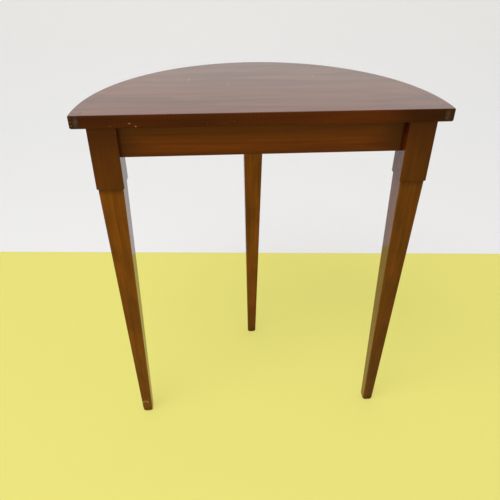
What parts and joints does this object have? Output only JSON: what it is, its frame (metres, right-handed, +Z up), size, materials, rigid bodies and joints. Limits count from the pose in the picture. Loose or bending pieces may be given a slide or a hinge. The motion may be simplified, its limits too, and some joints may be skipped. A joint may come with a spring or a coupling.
{
  "type": "demilune table",
  "caption": "Half-round side table with a flat back edge, stepped tapered square legs, a straight rear rail and curved aprons, in dark satin hardwood; stands flat side to a wall.",
  "frame": {"origin": "On the floor, under the middle of the table's width and depth", "axes": "+Z up, +Y from the flat back edge to the middle of the round side, +X to the right seen from the flat side"},
  "size_m": [0.636, 0.318, 0.74],
  "materials": {
    "wood_top": "satin brown lacquer",
    "wood_legs": "satin brown lacquer",
    "wood_rails": "satin brown lacquer",
    "wood_blocks": "bare sawn hardwood",
    "wood_dowels": "bare turned beech",
    "screw_steel": "zinc plated"
  },
  "bodies": {
    "root": {"top_lipping": "wood_top", "top_board_back": "wood_top", "top_board_middle": "wood_top", "top_board_front": "wood_top", "rear_leg_left": "wood_legs", "rear_leg_right": "wood_legs", "front_leg": "wood_legs", "rear_rail": "wood_rails", "curved_apron_left": "wood_rails", "curved_apron_right": "wood_rails", "corner_block_left": "wood_blocks", "corner_block_right": "wood_blocks", "front_block": "wood_blocks", "apron_rear_dowels": "wood_dowels", "apron_front_dowels": "wood_dowels", "top_screws": "screw_steel", "leg_screws": "screw_steel"}
  },
  "joints": []
}
